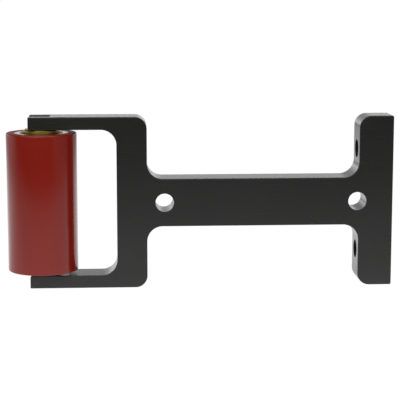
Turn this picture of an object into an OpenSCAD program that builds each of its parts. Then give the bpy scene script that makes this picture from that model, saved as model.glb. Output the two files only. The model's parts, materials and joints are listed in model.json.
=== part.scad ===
// Small-wheel yoke of a belt grinder: a flat milled fork with a drilled mounting foot carries a
// rubber-covered wheel, which turns on two ball bearings around a fixed axle.
// X runs from the fork to the foot, Y goes through the plate, Z runs along the axle.
// The origin is the centre of the foot's mounting face. Millimetres.

/* [Yoke plate] */
// Thickness of the plate, along Y
plate_t = 12.7; // [11:0.1:16]
// Height of the fork and of the foot, along Z
yoke_h = 63.5; // [61:0.5:80]
// Distance from the mounting face to the tips of the arms
reach = 134.6; // [125:0.1:180]
// Thickness of each fork arm
arm_t = 4.7; // [4.2:0.1:5.5]
// Depth of the fork, from the tips of the arms to the bridge
fork_depth = 32.2; // [30:0.1:40]
// Thickness of the bridge that joins the arms
bridge_t = 11.15; // [9:0.05:14]
// Width of the stem between the bridge and the foot
stem_w = 17.7; // [15:0.1:22]
// Thickness of the foot
foot_t = 12.7; // [10:0.1:14]

/* [Plate corners] */
// Radius of the fork's rear corners and the foot's front corners
outer_r = 4.4; // [2:0.1:6]
// Radius of every inside corner
inner_r = 5.7; // [3:0.1:6.5]
// Radius of the corners beside the mounting face
foot_r = 0.6; // [0.2:0.1:2]
// Radius of the outer corners at the tips of the arms
tip_r = 0.4; // [0.3:0.1:1.5]
// Radius of the inner corners at the tips of the arms, beside the wheel
tip_inner_r = 0.8; // [0.3:0.1:1.5]

/* [Mounting holes] */
// Diameter of the four clearance holes
bolt_d = 6.75; // [5:0.05:7.5]
// Distance between the two holes through the foot
foot_bolt_spacing = 38.1; // [34:0.1:42]
// Distance from the mounting face to the nearer hole through the stem
stem_hole_inset = 13.2; // [12:0.1:16]
// Distance between the two holes through the stem
stem_bolt_spacing = 71.6; // [60:0.1:75]

/* [Wheel] */
// Distance from the tips of the arms to the wheel's axis
wheel_setback = 4.6; // [4.4:0.1:6]
// Outer diameter of the covered wheel
wheel_d = 26; // [24:0.1:28]
// Gap between each end of the wheel and the arm beside it
side_gap = 1.35; // [1.2:0.05:3]
// Thickness of the rubber cover
cover_t = 3.1; // [2:0.1:3.4]
// Radius that breaks the cover's outer edges
cover_edge_r = 0.8; // [0.2:0.1:1]
// How far the hub's ends sit below the ends of the cover
hub_inset = 0.1; // [0:0.05:0.5]

/* [Bearings] */
// Bore of each bearing
bearing_bore = 6.35; // [6.35:0.01:6.4]
// Outer diameter of each bearing
bearing_od = 15.875; // [15.8:0.005:16.2]
// Width of each bearing
bearing_w = 4.978; // [4.9:0.002:5.2]
// Depth of each bearing below the end of the wheel
bearing_inset = 1.2; // [0.6:0.05:2]
// Diameter of the balls
ball_d = 2.381; // [2.3:0.001:2.4]
// Number of balls in each bearing
ball_count = 8; // [6:1:9]

/* [Axle and its fixings] */
// Diameter of the axle
axle_d = 6.33; // [6.2:0.01:6.34]
// Depth of the axle's ends below the outer faces of the arms
axle_inset = 0.8; // [0.5:0.1:1.2]
// Width of the open slot in each arm
slot_w = 6.4; // [6.36:0.01:6.5]
// Diameter of the spacer discs
disc_d = 13; // [11:0.1:14]
// Diameter of the set screws in the rear walls of the slots
screw_d = 2.84; // [2.2:0.01:3]

/* [Hidden] */
$fn = 96;

lap = 0.5;             // how far a cutter or a joining block runs past a face
upper = 1;             // side of the wheel towards +Z
lower = -1;            // side of the wheel towards -Z

// Yoke, along X and Z
tip_x = -reach;
bridge_x0 = tip_x + fork_depth;
bridge_x1 = bridge_x0 + bridge_t;
foot_x = -foot_t;
window_h = yoke_h - 2 * arm_t;
arm_mid_z = (yoke_h - arm_t) / 2;

// Wheel
wheel_x = tip_x + wheel_setback;
wheel_len = window_h - 2 * side_gap;
hub_r = wheel_d / 2 - cover_t;
hub_len = wheel_len - 2 * hub_inset;
seat_chamfer = 0.3;    // lead-in at the mouth of each bearing seat

// Bearings: the balls run in grooves that are a little wider than they are
bearing_z = wheel_len / 2 - bearing_inset - bearing_w / 2;
ball_r = ball_d / 2;
pitch_r = (bearing_bore + bearing_od) / 4;
groove_r = ball_r + 0.05;
inner_land_r = pitch_r - 0.35 * ball_d;
outer_land_r = pitch_r + 0.35 * ball_d;
shield_t = 0.25;
shield_inset = 0.1;    // depth of a shield below the bearing's face
shield_gap = 0.2;      // between a shield and the inner ring
shield_seat_r = outer_land_r + 0.35;
cage_ir = pitch_r - 0.2 * ball_d;
cage_or = pitch_r + 0.2 * ball_d;
cage_h = 1.4 * ball_d;

// Spacers: both press only on the inner rings
spacer_bore_d = bearing_bore + 0.05;
spacer_boss_d = 2 * inner_land_r - 0.4;
disc_lift = 0.3;       // clearance between a disc's flange and the bearing
disc_chamfer = 0.45;

// Axle and set screws
axle_len = yoke_h - 2 * axle_inset;
axle_chamfer = 0.3;
flat_depth = 0.35;     // of the flat under each set screw
flat_len = arm_t - axle_inset - 0.2;
slot_x = wheel_x + axle_d / 2 + 0.01;
flat_y = axle_d / 2 - flat_depth;
screw_recess = 0.2;    // depth of a set screw below the rear face
screw_len = plate_t / 2 - screw_recess - flat_y;
screw_point_h = 0.4;
hex_key = 1.27;        // across the flats
hex_depth = 1.4;

// Bar along X, centred in height
module bar(x0, x1, h) {
    translate([x0, -h / 2]) square([x1 - x0, h]);
}

// What lies between a square corner and the arc inside it. It fills an inside corner or trims
// an outside one. Quarter 0 opens towards +X and +Z, and each further quarter turns it by 90 degrees.
module corner(x, z, quarter, r) {
    translate([x, z]) rotate(90 * quarter) difference() {
        translate([-lap, -lap]) square(r + lap);
        translate([r, r]) circle(r);
    }
}

// Side view of the plate with its window, before the outside corners are rounded
module sharp_outline() {
    difference() {
        bar(tip_x, bridge_x1, yoke_h);
        bar(tip_x - lap, bridge_x0, window_h);
    }
    bar(bridge_x1 - lap, foot_x + lap, stem_w);
    bar(foot_x, 0, yoke_h);
    for (half = [0, 1]) mirror([0, half]) {
        corner(bridge_x0, window_h / 2, 2, inner_r);
        corner(bridge_x1, stem_w / 2, 0, inner_r);
        corner(foot_x, stem_w / 2, 1, inner_r);
    }
}

module yoke_outline() {
    difference() {
        sharp_outline();
        for (half = [0, 1]) mirror([0, half]) {
            corner(tip_x, yoke_h / 2, 3, tip_r);
            corner(tip_x, window_h / 2, 0, tip_inner_r);
            corner(bridge_x1, yoke_h / 2, 2, outer_r);
            corner(foot_x, yoke_h / 2, 3, outer_r);
            corner(0, yoke_h / 2, 2, foot_r);
        }
    }
}

// Open slot for one end of the axle, and the hole of the set screw that locks it
module axle_seat(side) {
    translate([tip_x - lap, -slot_w / 2, side * arm_mid_z - arm_t / 2 - lap])
        cube([slot_x - tip_x + lap, slot_w, arm_t + 2 * lap]);
    translate([wheel_x, 0, side * arm_mid_z]) rotate([-90, 0, 0])
        cylinder(d = screw_d + 0.06, h = plate_t / 2 + lap);
}

module yoke() {
    color("#2f2f2d") difference() {
        rotate([90, 0, 0]) linear_extrude(plate_t, center = true) yoke_outline();
        for (x = [-stem_hole_inset, -stem_hole_inset - stem_bolt_spacing])
            translate([x, 0, 0]) rotate([90, 0, 0]) cylinder(d = bolt_d, h = plate_t + 2 * lap, center = true);
        for (side = [lower, upper])
            translate([-foot_t / 2, 0, side * foot_bolt_spacing / 2]) rotate([0, 90, 0])
                cylinder(d = bolt_d, h = foot_t + 2 * lap, center = true);
        axle_seat(lower);
        axle_seat(upper);
    }
}

// Places a piece on the wheel's axis at height z
module on_axis(z = 0) {
    translate([wheel_x, 0, z]) children();
}

// Fixed axle with a flat towards the rear at each end
module axle() {
    straight_len = axle_len - 2 * axle_chamfer;
    end_r = axle_d / 2 - axle_chamfer;
    color("#8f9294") on_axis() difference() {
        union() {
            cylinder(d = axle_d, h = straight_len, center = true);
            for (half = [0, 1]) mirror([0, 0, half]) translate([0, 0, straight_len / 2])
                cylinder(r1 = axle_d / 2, r2 = end_r, h = axle_chamfer);
        }
        for (half = [0, 1]) mirror([0, 0, half])
            translate([-axle_d / 2, flat_y, axle_len / 2 - flat_len]) cube([axle_d, axle_d, flat_len + lap]);
    }
}

// Hex-socket set screw that bears on the axle's flat
module set_screw(side) {
    body_len = screw_len - screw_point_h;
    color("#3a3a3c") translate([wheel_x, flat_y, side * arm_mid_z]) rotate([-90, 0, 0]) difference() {
        union() {
            cylinder(d1 = 0.6 * screw_d, d2 = screw_d, h = screw_point_h);
            translate([0, 0, screw_point_h]) cylinder(d = screw_d, h = body_len);
        }
        translate([0, 0, screw_len - hex_depth]) cylinder(d = hex_key / cos(30), h = hex_depth + lap, $fn = 6);
    }
}

// Flanged disc that fills the gap beside the wheel. Its boss presses on the bearing's inner ring.
module spacer_disc(side) {
    boss_z = wheel_len / 2 - bearing_inset;
    flange_z = boss_z + disc_lift;
    top_z = window_h / 2;
    r = disc_d / 2;
    color("#a8893a") on_axis() mirror([0, 0, side == upper ? 0 : 1]) rotate_extrude() polygon([
        [spacer_bore_d / 2, boss_z],
        [spacer_boss_d / 2, boss_z],
        [spacer_boss_d / 2, flange_z],
        [r, flange_z],
        [r, top_z - disc_chamfer],
        [r - disc_chamfer, top_z],
        [spacer_bore_d / 2, top_z]
    ]);
}

// Tube between the two bearings' inner rings
module bearing_spacer_tube() {
    half = bearing_z - bearing_w / 2;
    color("#b9bcbe") on_axis() rotate_extrude()
        translate([spacer_bore_d / 2, -half]) square([(spacer_boss_d - spacer_bore_d) / 2, 2 * half]);
}

// Metal core of the wheel, with a bearing seat in each end
module wheel_hub() {
    end_z = hub_len / 2;
    shoulder_z = bearing_z - bearing_w / 2;
    seat_r = bearing_od / 2;
    shoulder_r = outer_land_r + 0.1;
    color("#c9c6bd") on_axis() rotate_extrude() polygon([
        [hub_r, -end_z],
        [hub_r, end_z],
        [seat_r + seat_chamfer, end_z],
        [seat_r, end_z - seat_chamfer],
        [seat_r, shoulder_z],
        [shoulder_r, shoulder_z],
        [shoulder_r, -shoulder_z],
        [seat_r, -shoulder_z],
        [seat_r, seat_chamfer - end_z],
        [seat_r + seat_chamfer, -end_z]
    ]);
}

// Rubber cover bonded to the hub, with rounded outer edges
module wheel_cover() {
    r = wheel_d / 2;
    arc_r = r - cover_edge_r;
    arc_z = wheel_len / 2 - cover_edge_r;
    color("#8e2015") on_axis() rotate_extrude() {
        translate([hub_r, -wheel_len / 2]) square([arc_r - hub_r, wheel_len]);
        translate([hub_r, -arc_z]) square([cover_t, 2 * arc_z]);
        for (z = [-arc_z, arc_z]) translate([arc_r, z]) circle(cover_edge_r);
    }
}

// Bearing pieces, each centred on its own bearing
module inner_ring() {
    color("#a9adb0") rotate_extrude() difference() {
        translate([bearing_bore / 2, -bearing_w / 2]) square([inner_land_r - bearing_bore / 2, bearing_w]);
        translate([pitch_r, 0]) circle(groove_r);
    }
}

module outer_ring() {
    seat_h = shield_inset + shield_t;
    color("#a9adb0") rotate_extrude() difference() {
        translate([outer_land_r, -bearing_w / 2]) square([bearing_od / 2 - outer_land_r, bearing_w]);
        translate([pitch_r, 0]) circle(groove_r);
        for (z = [-bearing_w / 2 - lap, bearing_w / 2 - seat_h])
            translate([outer_land_r - lap, z]) square([shield_seat_r - outer_land_r + lap, seat_h + lap]);
    }
}

module around_pitch() {
    for (i = [0 : ball_count - 1]) rotate(i * 360 / ball_count) translate([pitch_r, 0, 0]) children();
}

module balls() {
    color("#d8dadb") around_pitch() sphere(r = ball_r);
}

// Ring with a round pocket drilled through it for each ball
module cage() {
    color("#b08d4a") difference() {
        rotate_extrude() translate([cage_ir, -cage_h / 2]) square([cage_or - cage_ir, cage_h]);
        around_pitch() rotate([0, 90, 0]) cylinder(r = groove_r, h = ball_d, center = true);
    }
}

// Shield in one end of the outer ring, on the upper or the lower side of the bearing
module shield(side) {
    shield_ir = inner_land_r + shield_gap;
    mid_z = side * (bearing_w / 2 - shield_inset - shield_t / 2);
    color("#8d9092") rotate_extrude()
        translate([shield_ir, mid_z - shield_t / 2]) square([shield_seat_r - shield_ir, shield_t]);
}

yoke();
axle();
set_screw(upper);  // upper_set_screw
set_screw(lower);  // lower_set_screw
spacer_disc(upper);  // upper_spacer_disc
spacer_disc(lower);  // lower_spacer_disc
wheel_hub();
wheel_cover();
bearing_spacer_tube();
on_axis(bearing_z) inner_ring();  // upper_inner_ring
on_axis(bearing_z) outer_ring();  // upper_outer_ring
on_axis(bearing_z) balls();  // upper_balls
on_axis(bearing_z) cage();  // upper_cage
on_axis(bearing_z) shield(upper);  // upper_outer_shield
on_axis(bearing_z) shield(lower);  // upper_inner_shield
on_axis(-bearing_z) inner_ring();  // lower_inner_ring
on_axis(-bearing_z) outer_ring();  // lower_outer_ring
on_axis(-bearing_z) balls();  // lower_balls
on_axis(-bearing_z) cage();  // lower_cage
on_axis(-bearing_z) shield(lower);  // lower_outer_shield
on_axis(-bearing_z) shield(upper);  // lower_inner_shield
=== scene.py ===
"""Looks of the small-wheel yoke: a black fork with a red rubber-covered wheel, on a pale floor."""
import json
import math

import bmesh
import bpy
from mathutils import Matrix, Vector
from mathutils.bvhtree import BVHTree


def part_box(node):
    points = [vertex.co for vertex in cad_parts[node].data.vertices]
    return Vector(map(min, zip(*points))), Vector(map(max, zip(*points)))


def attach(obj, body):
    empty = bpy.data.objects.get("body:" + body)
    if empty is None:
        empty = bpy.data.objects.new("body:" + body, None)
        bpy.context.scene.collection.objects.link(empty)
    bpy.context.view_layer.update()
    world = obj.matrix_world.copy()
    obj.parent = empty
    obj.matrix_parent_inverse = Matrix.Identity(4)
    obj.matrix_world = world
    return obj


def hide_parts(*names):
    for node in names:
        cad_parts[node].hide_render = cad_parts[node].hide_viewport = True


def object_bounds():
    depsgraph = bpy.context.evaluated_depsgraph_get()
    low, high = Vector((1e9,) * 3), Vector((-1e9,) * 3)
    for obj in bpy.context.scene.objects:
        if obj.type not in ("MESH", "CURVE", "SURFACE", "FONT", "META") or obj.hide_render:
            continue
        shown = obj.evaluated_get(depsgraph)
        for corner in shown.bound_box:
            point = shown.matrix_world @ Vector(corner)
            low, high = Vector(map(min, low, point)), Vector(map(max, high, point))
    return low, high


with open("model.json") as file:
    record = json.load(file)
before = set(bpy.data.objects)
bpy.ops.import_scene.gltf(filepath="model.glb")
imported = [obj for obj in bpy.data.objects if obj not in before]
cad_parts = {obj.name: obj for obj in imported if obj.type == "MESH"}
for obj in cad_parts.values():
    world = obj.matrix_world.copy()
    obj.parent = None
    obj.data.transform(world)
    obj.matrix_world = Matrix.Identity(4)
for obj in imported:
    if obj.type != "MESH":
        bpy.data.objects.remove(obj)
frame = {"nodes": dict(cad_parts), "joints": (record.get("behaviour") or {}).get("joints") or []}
CAD_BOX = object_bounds()
MM = 0.001

# ---------------------------------------------------------------- sizes, read from the frame

yoke_lo, yoke_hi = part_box("yoke")
AXIS_X = next(joint["pos_m"][0] for joint in frame["joints"] if joint["name"] == "wheel_spin")
FLOOR_Z = yoke_lo.z


def turned_size(name):
    """Smallest and largest distance of a CAD node from the wheel's axis, and its lowest and highest z."""
    node = frame["nodes"][name]
    spots = [node.matrix_world @ vertex.co for vertex in node.data.vertices]
    radii = [math.hypot(spot.x - AXIS_X, spot.y) for spot in spots]
    heights = [spot.z for spot in spots]
    return min(radii), max(radii), min(heights), max(heights)


# ---------------------------------------------------------------- camera

CAMERA_AT = Vector((-0.0998, -0.4980, 0.0776))
CAMERA_DOWN = math.radians(8.85)
CAMERA_RIGHT = math.radians(3.263)
LENS_MM = 121.55


def make_camera():
    """Looks slightly down on the object from in front, through a long lens."""
    data = bpy.data.cameras.new("camera")
    data.lens = LENS_MM
    data.sensor_width = 36
    data.clip_start = 0.01
    data.clip_end = 20
    camera = bpy.data.objects.new("camera", data)
    bpy.context.scene.collection.objects.link(camera)
    camera.location = CAMERA_AT
    camera.rotation_euler = (math.pi / 2 - CAMERA_DOWN, 0, -CAMERA_RIGHT)
    bpy.context.scene.camera = camera


# ---------------------------------------------------------------- node helpers

def new_material(name, roughness, metallic=0.0):
    """A Principled material, with its node tree and shader."""
    material = bpy.data.materials.new(name)
    material.use_nodes = True
    tree = material.node_tree
    shader = tree.nodes["Principled BSDF"]
    shader.inputs["Roughness"].default_value = roughness
    shader.inputs["Metallic"].default_value = metallic
    return material, tree, shader


def join(tree, value, socket):
    """Feeds a number or another node's output into a socket."""
    if isinstance(value, (int, float)):
        socket.default_value = value
    else:
        tree.links.new(value, socket)


def calculate(tree, operation, *values):
    """One arithmetic step on numbers or on other nodes' outputs."""
    node = tree.nodes.new("ShaderNodeMath")
    node.operation = operation
    for value, socket in zip(values, node.inputs):
        join(tree, value, socket)
    return node.outputs[0]


def spread(tree, value, low, high, start=0.0, stop=1.0, smooth=False):
    """Maps values from start to stop onto low to high."""
    node = tree.nodes.new("ShaderNodeMapRange")
    if smooth:
        node.interpolation_type = "SMOOTHSTEP"
    for name, setting in (("From Min", start), ("From Max", stop), ("To Min", low), ("To Max", high)):
        node.inputs[name].default_value = setting
    tree.links.new(value, node.inputs["Value"])
    return node.outputs["Result"]


def blend_values(tree, factor, a, b):
    """Mixes two values: a where the factor is 0, and b where it is 1."""
    node = tree.nodes.new("ShaderNodeMix")
    node.data_type = "FLOAT"
    for value, socket in ((factor, node.inputs[0]), (a, node.inputs[2]), (b, node.inputs[3])):
        join(tree, value, socket)
    return node.outputs[0]


def place_in_object(tree):
    """The x, y and z of a point in the object's own coordinates."""
    coordinates = tree.nodes.new("ShaderNodeTexCoord")
    split = tree.nodes.new("ShaderNodeSeparateXYZ")
    tree.links.new(coordinates.outputs["Object"], split.inputs["Vector"])
    return split.outputs["X"], split.outputs["Y"], split.outputs["Z"]


def stretched_noise(tree, cells_per_metre, detail=2.0, roughness=0.5):
    """Noise over the object's own coordinates, with its own scale along each axis."""
    coordinates = tree.nodes.new("ShaderNodeTexCoord")
    mapping = tree.nodes.new("ShaderNodeMapping")
    mapping.inputs["Scale"].default_value = cells_per_metre
    noise = tree.nodes.new("ShaderNodeTexNoise")
    noise.inputs["Scale"].default_value = 1
    noise.inputs["Detail"].default_value = detail
    noise.inputs["Roughness"].default_value = roughness
    tree.links.new(coordinates.outputs["Object"], mapping.inputs["Vector"])
    tree.links.new(mapping.outputs["Vector"], noise.inputs["Vector"])
    return noise.outputs["Fac"]


def along_face(tree, axis):
    """How far a face's own normal lies along one axis of the object, from 0 to 1."""
    coordinates = tree.nodes.new("ShaderNodeTexCoord")
    split = tree.nodes.new("ShaderNodeSeparateXYZ")
    tree.links.new(coordinates.outputs["Normal"], split.inputs["Vector"])
    return calculate(tree, "ABSOLUTE", split.outputs[axis])


def add_bump(tree, shader, height, distance, strength):
    """Fine relief for a material, with its height in metres."""
    node = tree.nodes.new("ShaderNodeBump")
    node.inputs["Strength"].default_value = strength
    node.inputs["Distance"].default_value = distance
    tree.links.new(height, node.inputs["Height"])
    tree.links.new(node.outputs["Normal"], shader.inputs["Normal"])


def tint(tree, shader, factor, dark, light):
    """Base colour that runs from dark to light with the factor."""
    node = tree.nodes.new("ShaderNodeMix")
    node.data_type = "RGBA"
    node.inputs[6].default_value = (*dark, 1)
    node.inputs[7].default_value = (*light, 1)
    tree.links.new(factor, node.inputs[0])
    tree.links.new(node.outputs[2], shader.inputs["Base Color"])


# ---------------------------------------------------------------- materials

ANODISED_ROUGHNESS = (0.20, 0.32)
ANODISED_TINT = ((0.0125, 0.0125, 0.012), (0.0195, 0.0195, 0.0187))
RUBBER_ROUGHNESS = (0.10, 0.20)
RUBBER_END_ROUGHNESS = 0.5
RUBBER_TINT = ((0.205, 0.0105, 0.005), (0.265, 0.0145, 0.007))
RING_PITCH = 0.25 * MM  # distance between the tool marks on turned metal


def black_anodised():
    """Black anodised aluminium: rolled grain along X on the flat faces, cutter marks on the milled sides."""
    material, tree, shader = new_material("black_anodised", 0.3)
    rolled = stretched_noise(tree, (60, 900, 1800), detail=4, roughness=0.6)
    cutter = stretched_noise(tree, (2600, 25, 2600), detail=3, roughness=0.6)
    passes = stretched_noise(tree, (30, 700, 30))
    milled = blend_values(tree, 0.4, cutter, passes)
    grain = blend_values(tree, along_face(tree, "Y"), milled, rolled)
    tree.links.new(spread(tree, grain, *ANODISED_ROUGHNESS), shader.inputs["Roughness"])
    blotches = stretched_noise(tree, (45, 45, 45), detail=3)
    tint(tree, shader, blotches, *ANODISED_TINT)
    add_bump(tree, shader, grain, 0.02 * MM, 0.3)
    return material


def red_rubber():
    """Ground polyurethane: deep red and glossy, with faint rings round the wheel."""
    material, tree, shader = new_material("red_rubber", 0.14)
    rings = stretched_noise(tree, (40, 40, 2400), detail=3, roughness=0.6)
    clouds = stretched_noise(tree, (55, 55, 30), detail=3)
    tread = spread(tree, rings, *RUBBER_ROUGHNESS)
    ends = spread(tree, along_face(tree, "Z"), 0.0, 1.0, 0.3, 0.9, smooth=True)
    tree.links.new(blend_values(tree, ends, tread, RUBBER_END_ROUGHNESS), shader.inputs["Roughness"])
    tint(tree, shader, clouds, *RUBBER_TINT)
    add_bump(tree, shader, rings, 0.008 * MM, 0.25)
    return material


def turned_metal(name, base, roughness):
    """Turned metal: fine rings about the wheel's axis."""
    material, tree, shader = new_material(name, roughness, metallic=1.0)
    x, y, z = place_in_object(tree)
    aside = calculate(tree, "SUBTRACT", x, AXIS_X)
    squares = calculate(tree, "ADD", calculate(tree, "POWER", aside, 2), calculate(tree, "POWER", y, 2))
    noise = tree.nodes.new("ShaderNodeTexNoise")
    noise.noise_dimensions = "1D"
    noise.inputs["Scale"].default_value = 1 / RING_PITCH
    tree.links.new(calculate(tree, "ADD", calculate(tree, "SQRT", squares), z), noise.inputs["W"])
    rings = noise.outputs["Fac"]
    tree.links.new(spread(tree, rings, roughness * 0.7, roughness * 1.4), shader.inputs["Roughness"])
    tint(tree, shader, rings, tuple(0.86 * part for part in base), base)
    add_bump(tree, shader, rings, 0.01 * MM, 0.3)
    return material


def mottled_metal(name, base, roughness):
    """Ground or blackened metal: a fine, even mottle."""
    material, tree, shader = new_material(name, roughness, metallic=1.0)
    mottle = stretched_noise(tree, (900, 900, 900), detail=3)
    tree.links.new(spread(tree, mottle, roughness * 0.8, roughness * 1.25), shader.inputs["Roughness"])
    tint(tree, shader, mottle, tuple(0.88 * part for part in base), base)
    return material


# ---------------------------------------------------------------- pieces

SIDES = 320            # faces round a turned piece
ARC_PITCH = 0.12 * MM  # longest step along a rounded corner
EDGE_STEPS = 5         # faces across a rounded edge of the plate

PLATE_EDGE = 0.3 * MM        # rounding of the plate's outline on both faces
HOLE_EDGE = 0.15 * MM        # rounding of the rims of holes and slots
TIP_R = 0.4 * MM             # outer corners of the arms' tips
TIP_INNER_R = 0.8 * MM       # inner corners of the arms' tips, beside the wheel
OUTER_R = 4.4 * MM           # rear corners of the fork and front corners of the foot
INNER_R = 5.7 * MM           # every inside corner
FOOT_R = 0.6 * MM            # corners beside the mounting face
AXLE_CHAMFER = 0.3 * MM
COVER_EDGE = 0.55 * MM
SEAT_LIP = 0.3 * MM          # chamfer that leads a bearing into the hub
BROKEN_EDGE = 0.12 * MM      # inner rim of the cover and rims of the hub
DISC_FLANGE = 0.3 * MM       # how far a disc's flange stands off the bearing
DISC_BEVEL = 0.45 * MM
BOSS_INSET = 0.2 * MM        # how far a disc's boss stays inside the rim of the bearing's inner ring
SOFT_EDGE = 0.07 * MM        # edges of the small turned pieces
PAST = 1 * MM                # how far a cutter runs past what it cuts

# spots inside the yoke's holes and gaps, from which a probe finds their walls
STEM_HOLES_NEAR = (-13 * MM, -85 * MM)
FOOT_HOLE_NEAR = 19 * MM
WINDOW_NEAR = -115 * MM, 12 * MM
BAY_NEAR = -50 * MM, 25.5 * MM
PROBE_STEP = 0.1 * MM        # how far a probe starts from a face that it must not meet


def rounded(corners):
    """Closed outline through corners given as (across, up, rounding), with an arc at each rounded corner."""
    outline = []
    for before, here, after in zip(corners[-1:] + corners[:-1], corners, corners[1:] + corners[:1]):
        spot = Vector(here[:2])
        radius = here[2]
        if radius == 0:
            outline.append(spot)
            continue
        back = (Vector(before[:2]) - spot).normalized()
        ahead = (Vector(after[:2]) - spot).normalized()
        half = back.angle(ahead) / 2
        centre = spot + (back + ahead).normalized() * radius / math.sin(half)
        start = (spot + back * radius / math.tan(half) - centre).normalized()
        end = (spot + ahead * radius / math.tan(half) - centre).normalized()
        steps = max(6, math.ceil(radius * start.angle(end) / ARC_PITCH / 2))
        for step in range(steps + 1):
            outline.append(centre + start.slerp(end, step / steps) * radius)
    return outline


def new_piece(name, shape, material=None):
    """Turns finished mesh data into an object, smooth except at its sharp edges."""
    bmesh.ops.remove_doubles(shape, verts=shape.verts, dist=0.0001 * MM)
    bmesh.ops.recalc_face_normals(shape, faces=shape.faces)
    mesh = bpy.data.meshes.new(name)
    shape.to_mesh(mesh)
    shape.free()
    mesh.shade_smooth()
    mesh.set_sharp_from_angle(angle=math.radians(35))
    if material is not None:
        mesh.materials.append(material)
    piece = bpy.data.objects.new(name, mesh)
    bpy.context.scene.collection.objects.link(piece)
    return piece


def lathe(name, outline, material):
    """Turns a closed outline of (radius, height) points about the wheel's axis."""
    shape = bmesh.new()
    rings = []
    for side in range(SIDES):
        turn = 2 * math.pi * side / SIDES
        rings.append([shape.verts.new((AXIS_X + spot[0] * math.cos(turn), spot[0] * math.sin(turn), spot[1]))
                      for spot in outline])
    for ring, following in zip(rings, rings[1:] + rings[:1]):
        for i in range(len(outline)):
            j = (i + 1) % len(outline)
            shape.faces.new((ring[i], following[i], following[j], ring[j]))
    return new_piece(name, shape, material)


def inward_directions(outline):
    """For each point of a closed outline, the direction that points into the shape."""
    ahead = outline[1:] + outline[:1]
    behind = outline[-1:] + outline[:-1]
    turning = sum(a.x * b.y - b.x * a.y for a, b in zip(outline, ahead))
    hand = math.copysign(1, turning)
    return [Vector((a.y - b.y, b.x - a.x)).normalized() * hand for a, b in zip(behind, ahead)]


def slab(name, outline, half_depth, edge, material):
    """Flat plate with the given (x, z) outline, centred on y = 0, with rounded edges on both faces."""
    inward = inward_directions(outline)
    levels = []
    for step in range(EDGE_STEPS + 1):
        angle = math.pi / 2 * step / EDGE_STEPS
        levels.append((edge * (1 - math.sin(angle)), edge * (1 - math.cos(angle)) - half_depth))
    levels += [(inset, -depth) for inset, depth in reversed(levels)]
    shape = bmesh.new()
    rings = []
    for inset, y in levels:
        rings.append([shape.verts.new((spot.x + into.x * inset, y, spot.y + into.y * inset))
                      for spot, into in zip(outline, inward)])
    for ring, following in zip(rings, rings[1:]):
        for i in range(len(outline)):
            j = (i + 1) % len(outline)
            shape.faces.new((ring[i], following[i], following[j], ring[j]))
    shape.faces.new(rings[0])
    shape.faces.new(rings[-1])
    return new_piece(name, shape, material)


def block(low, high):
    """Plain box used only as a cutter."""
    shape = bmesh.new()
    bmesh.ops.create_cube(shape, size=1)
    bmesh.ops.scale(shape, vec=high - low, verts=shape.verts)
    bmesh.ops.translate(shape, vec=(low + high) / 2, verts=shape.verts)
    return new_piece("cutter", shape)


def rod(start, end, radius):
    """Plain cylinder between two points, used only as a cutter."""
    shape = bmesh.new()
    along = end - start
    bmesh.ops.create_cone(shape, cap_ends=True, segments=96, radius1=radius, radius2=radius, depth=along.length)
    turn = along.to_track_quat("Z", "Y").to_matrix()
    bmesh.ops.rotate(shape, matrix=turn, verts=shape.verts)
    bmesh.ops.translate(shape, vec=(start + end) / 2, verts=shape.verts)
    return new_piece("cutter", shape)


def carve(piece, cutters):
    """Cuts the cutters out of a piece and drops them."""
    for cutter in cutters:
        cut = piece.modifiers.new("cut", "BOOLEAN")
        cut.solver = "EXACT"
        cut.object = cutter
    bpy.context.view_layer.update()
    carved = bpy.data.meshes.new_from_object(piece.evaluated_get(bpy.context.evaluated_depsgraph_get()))
    piece.modifiers.clear()
    piece.data = carved
    for cutter in cutters:
        bpy.data.objects.remove(cutter)


def break_edges(piece, width):
    """Rounds the edges that are still sharp, and lets the large faces set the shading."""
    shape = bmesh.new()
    shape.from_mesh(piece.data)
    bmesh.ops.remove_doubles(shape, verts=shape.verts, dist=0.001 * MM)
    sharp = [edge for edge in shape.edges if edge.calc_face_angle(0) > math.radians(40)]
    bmesh.ops.bevel(shape, geom=sharp, offset=width, segments=3, profile=0.5, affect="EDGES",
                    clamp_overlap=True)
    bmesh.ops.recalc_face_normals(shape, faces=shape.faces)
    shape.to_mesh(piece.data)
    shape.free()
    piece.data.shade_smooth()
    weigh = piece.modifiers.new("weigh", "WEIGHTED_NORMAL")
    weigh.weight = 100
    weigh.keep_sharp = False


def stand_in(piece, node, body):
    """The piece takes the place of a CAD node, which it hides, and moves with its body."""
    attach(piece, body)
    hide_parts(node)


def wall_finder(name):
    """A probe for a CAD node: the x, y or z at which a ray along that axis first meets its surface."""
    node = frame["nodes"][name]
    spots = [node.matrix_world @ vertex.co for vertex in node.data.vertices]
    surface = BVHTree.FromPolygons(spots, [face.vertices[:] for face in node.data.polygons])

    def wall(x, y, z, axis, way):
        heading = Vector((0, 0, 0))
        heading[axis] = way
        return surface.ray_cast(Vector((x, y, z)), heading)[0][axis]
    return wall


def span(wall, x, y, z, axis):
    """Middle and half-width of the gap around a point, along an axis."""
    low = wall(x, y, z, axis, -1)
    high = wall(x, y, z, axis, 1)
    return (low + high) / 2, (high - low) / 2


def stem_holes(wall, deep):
    """The two bolt holes through the stem."""
    holes = []
    for near in STEM_HOLES_NEAR:
        x, radius = span(wall, near, 0, 0, 0)
        holes.append(rod(Vector((x, -deep - PAST, 0)), Vector((x, deep + PAST, 0)), radius))
    return holes


def foot_hole(wall, foot, face, way):
    """A bolt hole through the foot; way is 1 for the upper one and -1 for the lower one."""
    z, radius = span(wall, (foot + face) / 2, 0, FOOT_HOLE_NEAR * way, 2)
    return rod(Vector((foot - PAST, 0, z)), Vector((face + PAST, 0, z)), radius)


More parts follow.
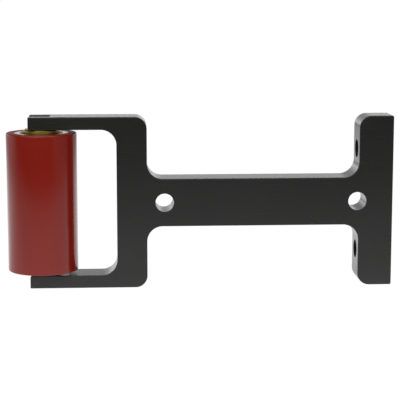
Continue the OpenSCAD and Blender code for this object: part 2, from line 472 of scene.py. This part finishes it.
def axle_seat(wall, arm, way):
    """The open slot in an arm's tip and the set screw's hole behind it."""
    tip = yoke_lo.x
    deep = yoke_hi.y
    middle = (arm + yoke_hi.z) / 2
    slot_end = wall(tip + PROBE_STEP, 0, middle, 0, 1)
    slot_half = wall(tip + PAST, 0, middle, 1, 1)
    screw_x, screw_radius = span(wall, AXIS_X, deep - PAST, middle, 0)
    low, high = sorted((way * (arm - PAST), way * (yoke_hi.z + PAST)))
    slot = block(Vector((tip - PAST, -slot_half, low)), Vector((slot_end, slot_half, high)))
    inside = Vector((screw_x, 0, way * middle))
    outside = Vector((screw_x, deep + PAST, way * middle))
    return [slot, rod(inside, outside, screw_radius)]


def make_yoke(material):
    """The milled plate: its outline with the fork's window, then its holes and slots."""
    wall = wall_finder("yoke")
    top = yoke_hi.z
    tip = yoke_lo.x
    face = yoke_hi.x
    bay_x, bay_z = BAY_NEAR
    window_x, window_z = WINDOW_NEAR
    arm = wall(window_x, 0, 0, 2, 1)
    bridge_front = wall(window_x, 0, window_z, 0, 1)
    bridge_back = wall(bay_x, 0, bay_z, 0, -1)
    foot = wall(bay_x, 0, bay_z, 0, 1)
    stem = wall(bay_x, 0, bay_z, 2, -1)
    half = [(tip, arm, TIP_INNER_R), (tip, top, TIP_R),
            (bridge_back, top, OUTER_R), (bridge_back, stem, INNER_R),
            (foot, stem, INNER_R), (foot, top, OUTER_R), (face, top, FOOT_R)]
    mirrored = [(x, -z, radius) for x, z, radius in reversed(half)]
    window = [(bridge_front, -arm, INNER_R), (bridge_front, arm, INNER_R)]
    piece = slab("milled_yoke", rounded(half + mirrored + window), yoke_hi.y, PLATE_EDGE, material)
    cutters = stem_holes(wall, yoke_hi.y)
    for way in (-1, 1):
        cutters.append(foot_hole(wall, foot, face, way))
        cutters += axle_seat(wall, arm, way)
    carve(piece, cutters)
    break_edges(piece, HOLE_EDGE)
    stand_in(piece, "yoke", "yoke")


def make_axle(material):
    """Ground axle with chamfered ends and a flat under each set screw."""
    _, radius, low, high = turned_size("axle")
    wall = wall_finder("axle")
    outline = rounded([(0, low, 0),
                       (radius - AXLE_CHAMFER, low, SOFT_EDGE), (radius, low + AXLE_CHAMFER, SOFT_EDGE),
                       (radius, high - AXLE_CHAMFER, SOFT_EDGE), (radius - AXLE_CHAMFER, high, SOFT_EDGE),
                       (0, high, 0)])
    piece = lathe("ground_axle", outline, material)
    flat_y = wall(AXIS_X, 0, high - PAST, 1, 1)
    flat_length = high - wall(AXIS_X, flat_y + PROBE_STEP, high, 2, -1)
    left = AXIS_X - 2 * radius
    right = AXIS_X + 2 * radius
    cutters = []
    for low_z, high_z in ((high - flat_length, high + PAST), (low - PAST, low + flat_length)):
        cutters.append(block(Vector((left, flat_y, low_z)), Vector((right, 2 * radius, high_z))))
    carve(piece, cutters)
    stand_in(piece, "axle", "yoke")


def make_cover(material):
    """The rubber tube on the hub, kept inside the CAD's own box."""
    inner, outer, low, high = turned_size("wheel_cover")
    outer = min(outer, AXIS_X - CAD_BOX[0][0])
    outline = rounded([(inner, low, BROKEN_EDGE), (outer, low, COVER_EDGE),
                       (outer, high, COVER_EDGE), (inner, high, BROKEN_EDGE)])
    stand_in(lathe("rubber_cover", outline, material), "wheel_cover", "wheel")


def make_hub(material):
    """The wheel's metal core, with a seat for a bearing in each end."""
    _, outer, low, high = turned_size("wheel_hub")
    seat = turned_size("upper_outer_ring")[1]
    shoulder = turned_size("wheel_hub")[0]
    seat_end = turned_size("upper_outer_ring")[2]
    half = [(outer, high, BROKEN_EDGE), (seat + SEAT_LIP, high, SOFT_EDGE), (seat, high - SEAT_LIP, SOFT_EDGE),
            (seat, seat_end, 0), (shoulder, seat_end, BROKEN_EDGE)]
    mirrored = [(radius, -height, rounding) for radius, height, rounding in reversed(half)]
    stand_in(lathe("turned_hub", rounded(half + mirrored), material), "wheel_hub", "wheel")


def make_disc(side, material):
    """Spacer disc with a bevelled rim and a boss; side is 1 above the wheel and -1 below it."""
    name = ("upper" if side == 1 else "lower") + "_spacer_disc"
    bore, rim, low, high = turned_size(name)
    boss_end, arm_face = (low, high) if side == 1 else (high, low)
    flange = boss_end + side * DISC_FLANGE
    boss = turned_size("upper_inner_ring")[1] - BOSS_INSET
    corners = [(bore, boss_end, SOFT_EDGE), (boss, boss_end, SOFT_EDGE),
               (boss, flange, 0), (rim, flange, SOFT_EDGE),
               (rim, arm_face - side * DISC_BEVEL, SOFT_EDGE), (rim - DISC_BEVEL, arm_face, SOFT_EDGE),
               (bore, arm_face, SOFT_EDGE)]
    stand_in(lathe("turned_" + name, rounded(corners), material), name, "yoke")


def dress(name, material):
    """Joins a CAD node's split corners and gives it its material."""
    node = frame["nodes"][name]
    weld = node.modifiers.new("weld", "WELD")
    weld.merge_threshold = 0.002 * MM
    node.data.materials.clear()
    node.data.materials.append(material)


# ---------------------------------------------------------------- floor and light

POOL_AT = (-0.09, 0.05)                      # middle of the painted pool of light on the floor
POOL_SIDE_SCALE, POOL_BACK_SCALE = 0.7, 0.6  # below 1, the patch reaches further that way
POOL_NEAR, POOL_FAR = 0.05, 0.45             # where the patch starts to fade and where it ends
NEAR_FRONT, NEAR_BACK = 0.75, 1.3            # strength of the patch before and behind the object
DISTANT_FRONT, DISTANT_BACK = 0.02, 0.5      # strength of the floor beyond it
NEAR_SPAN, DISTANT_SPAN = (-0.05, 0.08), (-0.4, 0.35)  # where along Y each one changes from front to back
FLOOR_SEEN, FLOOR_DIFFUSE = 1.0, 0.03
WORLD_FRONT, WORLD_FROM, WORLD_TO = 0.05, -0.2, 0.7
WORLD_LOW, WORLD_FADE_HEIGHT = 2.02, 0.14    # strength at the horizon, and how fast it falls with height

# name, place, size and power of each lamp; all point at the fork
LAMPS = (("high_front", (0.0, -0.75, 0.75), (1.7, 1.1), 9.3),
         ("left_front", (-0.6, -0.6, 0.7), (1.2, 1.2), 3.5),
         ("right_card", (0.17, -0.17, 0.11), (0.28, 0.28), 0.04))
LAMPS_AIM = Vector((-0.1, 0, 0))


def seen_or_mirrored(tree, seen, mirrored):
    """A strength that is one value where the camera sees the surface itself, and another in its reflections."""
    path = tree.nodes.new("ShaderNodeLightPath")
    return blend_values(tree, path.outputs["Is Camera Ray"], mirrored, seen)


def pool_distance(tree):
    """Distance from the middle of the pool of light, which reaches further to the sides and to the back."""
    across, away, _ = place_in_object(tree)
    beside = calculate(tree, "MULTIPLY", calculate(tree, "SUBTRACT", across, POOL_AT[0]), POOL_SIDE_SCALE)
    depth = calculate(tree, "SUBTRACT", away, POOL_AT[1])
    behind = calculate(tree, "MULTIPLY", calculate(tree, "MAXIMUM", depth, 0.0), POOL_BACK_SCALE)
    before = calculate(tree, "MINIMUM", depth, 0.0)
    deep = calculate(tree, "ADD", behind, before)
    squares = calculate(tree, "MULTIPLY_ADD", beside, beside, calculate(tree, "MULTIPLY", deep, deep))
    return calculate(tree, "SQRT", squares)


def make_floor():
    """White paper whose glow paints a pool of light like a lit sweep: brightest round the object, dimmer
    further away.
    """
    half = 40
    corners = [(-half, -half, FLOOR_Z), (half, -half, FLOOR_Z), (half, half, FLOOR_Z), (-half, half, FLOOR_Z)]
    mesh = bpy.data.meshes.new("floor")
    mesh.from_pydata(corners, [], [(0, 1, 2, 3)])
    floor = bpy.data.objects.new("floor", mesh)
    bpy.context.scene.collection.objects.link(floor)
    material = bpy.data.materials.new("floor_paper")
    material.use_nodes = True
    tree = material.node_tree
    tree.nodes.clear()
    # painted pool of light: the floor's own glow, which lights the object and shows in its reflections, is
    # strongest round the object and fades away from it
    pool = spread(tree, pool_distance(tree), 1.0, 0.0, POOL_NEAR, POOL_FAR, smooth=True)
    depth = place_in_object(tree)[1]
    near = spread(tree, depth, NEAR_FRONT, NEAR_BACK, *NEAR_SPAN, smooth=True)
    distant = spread(tree, depth, DISTANT_FRONT, DISTANT_BACK, *DISTANT_SPAN, smooth=True)
    lit = blend_values(tree, pool, distant, near)
    glow = tree.nodes.new("ShaderNodeEmission")
    tree.links.new(seen_or_mirrored(tree, FLOOR_SEEN, lit), glow.inputs["Strength"])
    paper = tree.nodes.new("ShaderNodeBsdfDiffuse")
    paper.inputs["Color"].default_value = (FLOOR_DIFFUSE, FLOOR_DIFFUSE, FLOOR_DIFFUSE, 1)
    both = tree.nodes.new("ShaderNodeAddShader")
    output = tree.nodes.new("ShaderNodeOutputMaterial")
    tree.links.new(glow.outputs[0], both.inputs[0])
    tree.links.new(paper.outputs[0], both.inputs[1])
    tree.links.new(both.outputs[0], output.inputs["Surface"])
    mesh.materials.append(material)


def area_light(name, place, size, power):
    """A square-cornered lamp that points at the fork."""
    data = bpy.data.lights.new(name, "AREA")
    data.shape = "RECTANGLE"
    data.size, data.size_y = size
    data.energy = power
    light = bpy.data.objects.new(name, data)
    bpy.context.scene.collection.objects.link(light)
    light.location = place
    light.rotation_euler = (LAMPS_AIM - Vector(place)).to_track_quat("-Z", "Y").to_euler()


def make_world():
    """White to the camera; to everything else bright behind the object and dim in front of it."""
    world = bpy.data.worlds.new("studio")
    bpy.context.scene.world = world
    world.use_nodes = True
    tree = world.node_tree
    tree.nodes.clear()
    coordinates = tree.nodes.new("ShaderNodeTexCoord")
    split = tree.nodes.new("ShaderNodeSeparateXYZ")
    tree.links.new(coordinates.outputs["Generated"], split.inputs["Vector"])
    depth = spread(tree, split.outputs["Y"], WORLD_FRONT, 1.0, WORLD_FROM, WORLD_TO, smooth=True)
    height = calculate(tree, "DIVIDE", split.outputs["Z"], WORLD_FADE_HEIGHT)
    fading = calculate(tree, "MULTIPLY_ADD", height, height, 1.0)
    dome = calculate(tree, "MULTIPLY", depth, calculate(tree, "DIVIDE", WORLD_LOW, fading))
    background = tree.nodes.new("ShaderNodeBackground")
    background.inputs["Color"].default_value = (1, 1, 1, 1)
    tree.links.new(seen_or_mirrored(tree, 1.0, dome), background.inputs["Strength"])
    output = tree.nodes.new("ShaderNodeOutputWorld")
    tree.links.new(background.outputs[0], output.inputs["Surface"])


# ---------------------------------------------------------------- the object

make_camera()

make_cover(red_rubber())
HUB = turned_metal("hub_aluminium", (0.84, 0.76, 0.66), 0.28)
BRASS = turned_metal("disc_brass", (0.50, 0.38, 0.08), 0.3)
RING = turned_metal("bearing_steel", (0.6, 0.61, 0.62), 0.2)
SHIELD = turned_metal("shield_steel", (0.42, 0.43, 0.44), 0.3)
CAGE = turned_metal("cage_brass", (0.6, 0.42, 0.14), 0.35)
BALL = mottled_metal("ball_steel", (0.7, 0.7, 0.71), 0.08)
AXLE = mottled_metal("ground_steel", (0.42, 0.43, 0.44), 0.28)
SCREW = mottled_metal("black_oxide", (0.05, 0.05, 0.052), 0.4)

make_hub(HUB)
make_disc(1, BRASS)
make_disc(-1, BRASS)
make_yoke(black_anodised())
make_axle(AXLE)
dress("bearing_spacer_tube", HUB)
for side in ("upper", "lower"):
    dress(side + "_set_screw", SCREW)
    dress(side + "_inner_ring", RING)
    dress(side + "_outer_ring", RING)
    dress(side + "_balls", BALL)
    dress(side + "_cage", CAGE)
    dress(side + "_outer_shield", SHIELD)
    dress(side + "_inner_shield", SHIELD)

make_floor()
make_world()
for lamp in LAMPS:
    area_light(*lamp)

bpy.context.scene.view_settings.view_transform = "Standard"
